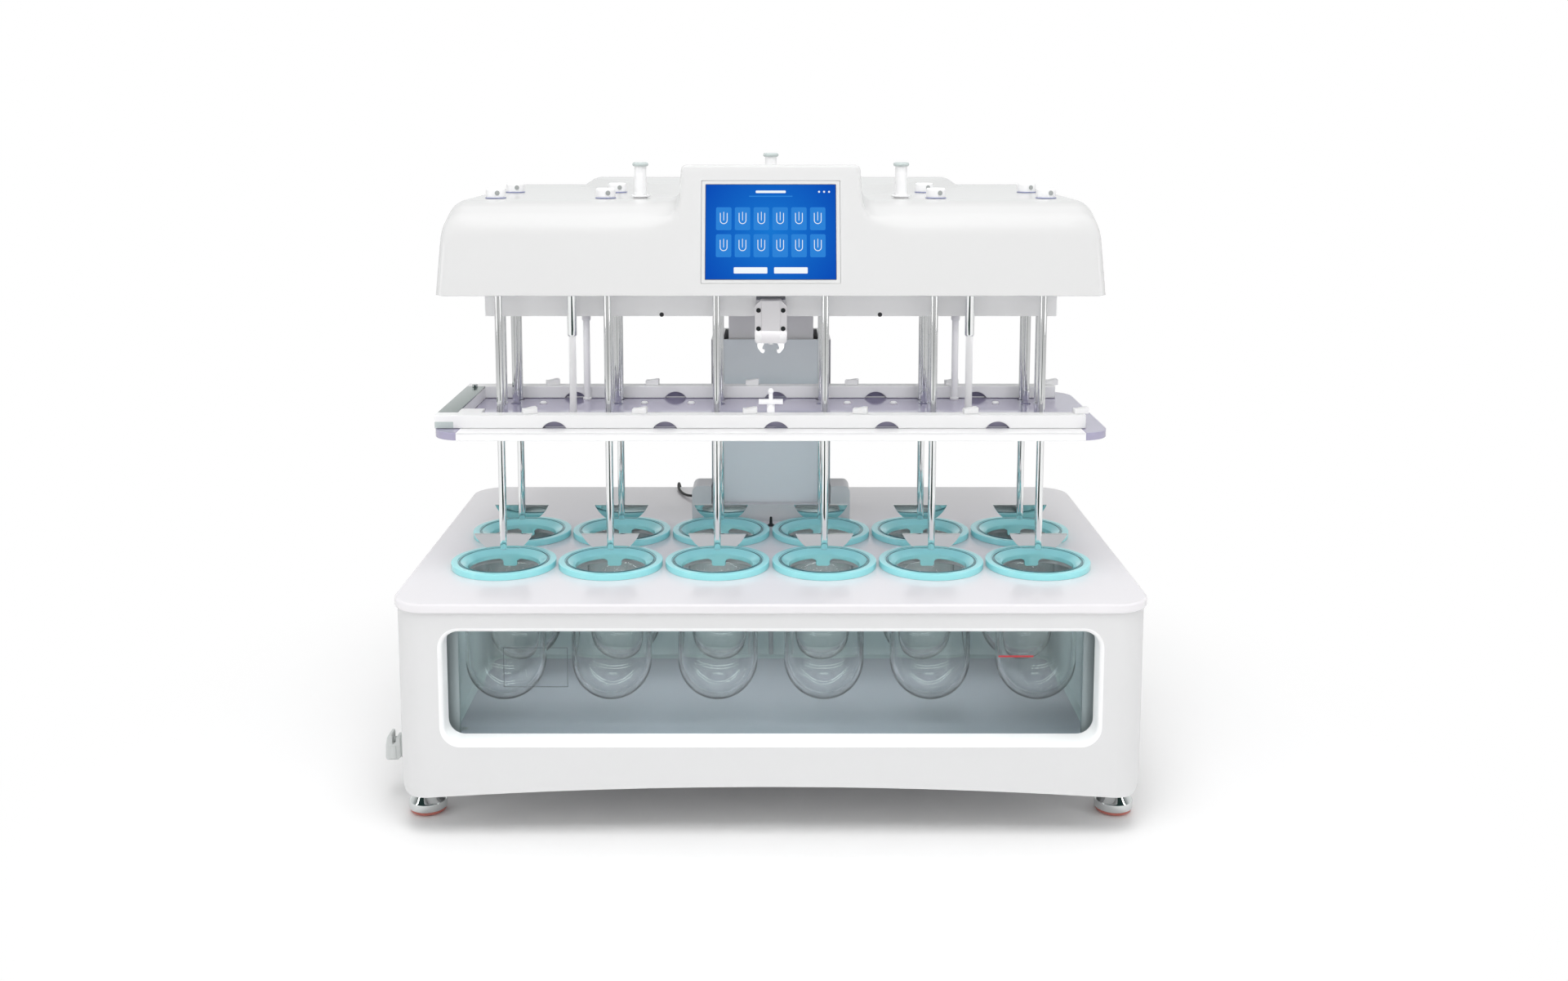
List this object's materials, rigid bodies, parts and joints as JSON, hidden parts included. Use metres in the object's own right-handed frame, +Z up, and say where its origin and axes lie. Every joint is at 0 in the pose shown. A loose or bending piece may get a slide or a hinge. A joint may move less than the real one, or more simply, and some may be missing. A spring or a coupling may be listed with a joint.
{
  "type": "tablet dissolution tester",
  "caption": "Bench tablet dissolution tester: water bath with flanged vessels, lifting stirrer head with touchscreen, paddles, sampling probes and a tablet drop tray.",
  "frame": {"origin": "middle of the bounding box in X and Y, at the underside of the feet", "axes": "+Z up, front with the window and screen towards -Y, +X to the right seen from the front"},
  "size_m": [0.9484, 0.6049, 0.823],
  "materials": {
    "white_cover": "glossy white moulding",
    "white_paint": "white powder coat",
    "deck_white": "satin white",
    "glass": "clear with a green-blue cast",
    "bath": "clear acrylic with water behind",
    "ring_turquoise": "glossy turquoise",
    "smoke": "glossy smoky lavender-grey plate",
    "column_grey": "satin grey-blue",
    "steel": "fine brushed",
    "polished": "polished",
    "white_resin": "smooth white",
    "aluminium": "satin anodised",
    "dark": "matt black",
    "rubber": "dark red rubber",
    "black_rubber": "black sheath",
    "screen": "lit blue panel",
    "zinc": "dark grey"
  },
  "bodies": {
    "base": {"base_cabinet": "white_paint", "deck_plate": "deck_white", "floor_pan": "steel", "bath_tank": "bath", "vessels_front": "glass", "vessels_back": "glass", "vessel_rings": "ring_turquoise", "column_shroud": "white_paint", "fixed_column": "aluminium", "column_panel": "column_grey", "lift_motor": "zinc", "heater_pump": "zinc", "power_inlet": "dark", "drain_valve": "zinc", "bath_sensor": "dark", "column_cable": "black_rubber", "cable_glands": "dark", "foot_cups": "steel", "foot_pads": "rubber"},
    "lift_screw": {"lift_screw": "steel"},
    "power_switch": {"power_switch": "dark"},
    "drain_lever": {"drain_lever": "zinc"},
    "head": {"head_cover": "white_cover", "touchscreen": "screen", "head_chassis": "aluminium", "head_column": "aluminium", "rod_sleeves": "steel", "catch_block": "aluminium", "bearing_bars": "steel", "stir_motor": "zinc", "stir_belt": "black_rubber", "guide_collars": "white_resin"},
    "drive_pulley": {"drive_pulley": "aluminium"},
    "paddle_01": {"paddle_01": "polished"},
    "paddle_02": {"paddle_02": "polished"},
    "paddle_03": {"paddle_03": "polished"},
    "paddle_04": {"paddle_04": "polished"},
    "paddle_05": {"paddle_05": "polished"},
    "paddle_06": {"paddle_06": "polished"},
    "paddle_07": {"paddle_07": "polished"},
    "paddle_08": {"paddle_08": "polished"},
    "paddle_09": {"paddle_09": "polished"},
    "paddle_10": {"paddle_10": "polished"},
    "paddle_11": {"paddle_11": "polished"},
    "paddle_12": {"paddle_12": "polished"},
    "probe_carriage": {"probe_carriage": "aluminium", "probe_tubes": "steel", "guide_posts": "white_resin"},
    "tray": {"tray_plate": "smoke", "tray_strip": "white_resin", "tray_rods": "white_resin", "catch_post": "polished", "tray_plugs": "white_resin"},
    "tablet_frame": {"rail_front": "white_resin", "rail_back": "white_resin", "end_beam": "white_resin", "end_plate": "polished", "well_covers": "white_resin"},
    "claw_left": {"claw_left": "steel"},
    "claw_right": {"claw_right": "steel"}
  },
  "joints": [
    {"name": "head_lift", "type": "slide", "parent": "base", "child": "head", "axis": [0, 0, 1], "range_m": [-0.172, 0]},
    {"name": "lift_screw_turn", "type": "hinge", "parent": "base", "child": "lift_screw", "pos_m": [0.01675, 0.16, 0.15], "axis": [0, 0, 1], "range_deg": [-6200, 1]},
    {"name": "power_rocker", "type": "hinge", "parent": "base", "child": "power_switch", "pos_m": [0.29675, 0.285, 0.13], "axis": [1, 0, 0], "range_deg": [0, 10]},
    {"name": "drain_turn", "type": "hinge", "parent": "base", "child": "drain_lever", "pos_m": [-0.46, -0.18, 0.08], "axis": [1, 0, 0], "range_deg": [0, 90]},
    {"name": "stir", "type": "hinge", "parent": "head", "child": "drive_pulley", "pos_m": [0.01675, 0.017, 0.692], "axis": [0, 0, 1], "continuous": true},
    {"name": "paddle_01_spin", "type": "hinge", "parent": "head", "child": "paddle_01", "pos_m": [-0.32825, -0.13, 0.5], "axis": [0, 0, 1], "continuous": true},
    {"name": "paddle_02_spin", "type": "hinge", "parent": "head", "child": "paddle_02", "pos_m": [-0.19025, -0.13, 0.5], "axis": [0, 0, 1], "continuous": true},
    {"name": "paddle_03_spin", "type": "hinge", "parent": "head", "child": "paddle_03", "pos_m": [-0.05225, -0.13, 0.5], "axis": [0, 0, 1], "continuous": true},
    {"name": "paddle_04_spin", "type": "hinge", "parent": "head", "child": "paddle_04", "pos_m": [0.08575, -0.13, 0.5], "axis": [0, 0, 1], "continuous": true},
    {"name": "paddle_05_spin", "type": "hinge", "parent": "head", "child": "paddle_05", "pos_m": [0.22375, -0.13, 0.5], "axis": [0, 0, 1], "continuous": true},
    {"name": "paddle_06_spin", "type": "hinge", "parent": "head", "child": "paddle_06", "pos_m": [0.36175, -0.13, 0.5], "axis": [0, 0, 1], "continuous": true},
    {"name": "paddle_07_spin", "type": "hinge", "parent": "head", "child": "paddle_07", "pos_m": [-0.32825, 0.017, 0.5], "axis": [0, 0, 1], "continuous": true},
    {"name": "paddle_08_spin", "type": "hinge", "parent": "head", "child": "paddle_08", "pos_m": [-0.19025, 0.017, 0.5], "axis": [0, 0, 1], "continuous": true},
    {"name": "paddle_09_spin", "type": "hinge", "parent": "head", "child": "paddle_09", "pos_m": [-0.05225, 0.017, 0.5], "axis": [0, 0, 1], "continuous": true},
    {"name": "paddle_10_spin", "type": "hinge", "parent": "head", "child": "paddle_10", "pos_m": [0.08575, 0.017, 0.5], "axis": [0, 0, 1], "continuous": true},
    {"name": "paddle_11_spin", "type": "hinge", "parent": "head", "child": "paddle_11", "pos_m": [0.22375, 0.017, 0.5], "axis": [0, 0, 1], "continuous": true},
    {"name": "paddle_12_spin", "type": "hinge", "parent": "head", "child": "paddle_12", "pos_m": [0.36175, 0.017, 0.5], "axis": [0, 0, 1], "continuous": true},
    {"name": "probe_lift", "type": "slide", "parent": "head", "child": "probe_carriage", "axis": [0, 0, 1], "range_m": [-0.032, 0]},
    {"name": "tray_lift", "type": "slide", "parent": "head", "child": "tray", "axis": [0, 0, 1], "range_m": [0, 0.058]},
    {"name": "tablet_slide", "type": "slide", "parent": "tray", "child": "tablet_frame", "axis": [1, 0, 0], "range_m": [0, 0.026]},
    {"name": "claw_right_swing", "type": "hinge", "parent": "head", "child": "claw_right", "pos_m": [0.0308, -0.123, 0.5903], "axis": [0, 1, 0], "range_deg": [0, 16]},
    {"name": "claw_left_swing", "type": "hinge", "parent": "head", "child": "claw_left", "pos_m": [0.0027, -0.123, 0.5903], "axis": [0, 1, 0], "range_deg": [-16, 0]}
  ],
  "couplings": [
    {"joint": "lift_screw_turn", "follows": "head_lift", "rad_per_m": 628.32},
    {"joint": "paddle_01_spin", "follows": "stir", "ratio": 1},
    {"joint": "paddle_02_spin", "follows": "stir", "ratio": 1},
    {"joint": "paddle_03_spin", "follows": "stir", "ratio": 1},
    {"joint": "paddle_04_spin", "follows": "stir", "ratio": 1},
    {"joint": "paddle_05_spin", "follows": "stir", "ratio": 1},
    {"joint": "paddle_06_spin", "follows": "stir", "ratio": 1},
    {"joint": "paddle_07_spin", "follows": "stir", "ratio": 1},
    {"joint": "paddle_08_spin", "follows": "stir", "ratio": 1},
    {"joint": "paddle_09_spin", "follows": "stir", "ratio": 1},
    {"joint": "paddle_10_spin", "follows": "stir", "ratio": 1},
    {"joint": "paddle_11_spin", "follows": "stir", "ratio": 1},
    {"joint": "paddle_12_spin", "follows": "stir", "ratio": 1},
    {"joint": "claw_left_swing", "follows": "claw_right_swing", "ratio": -1}
  ]
}
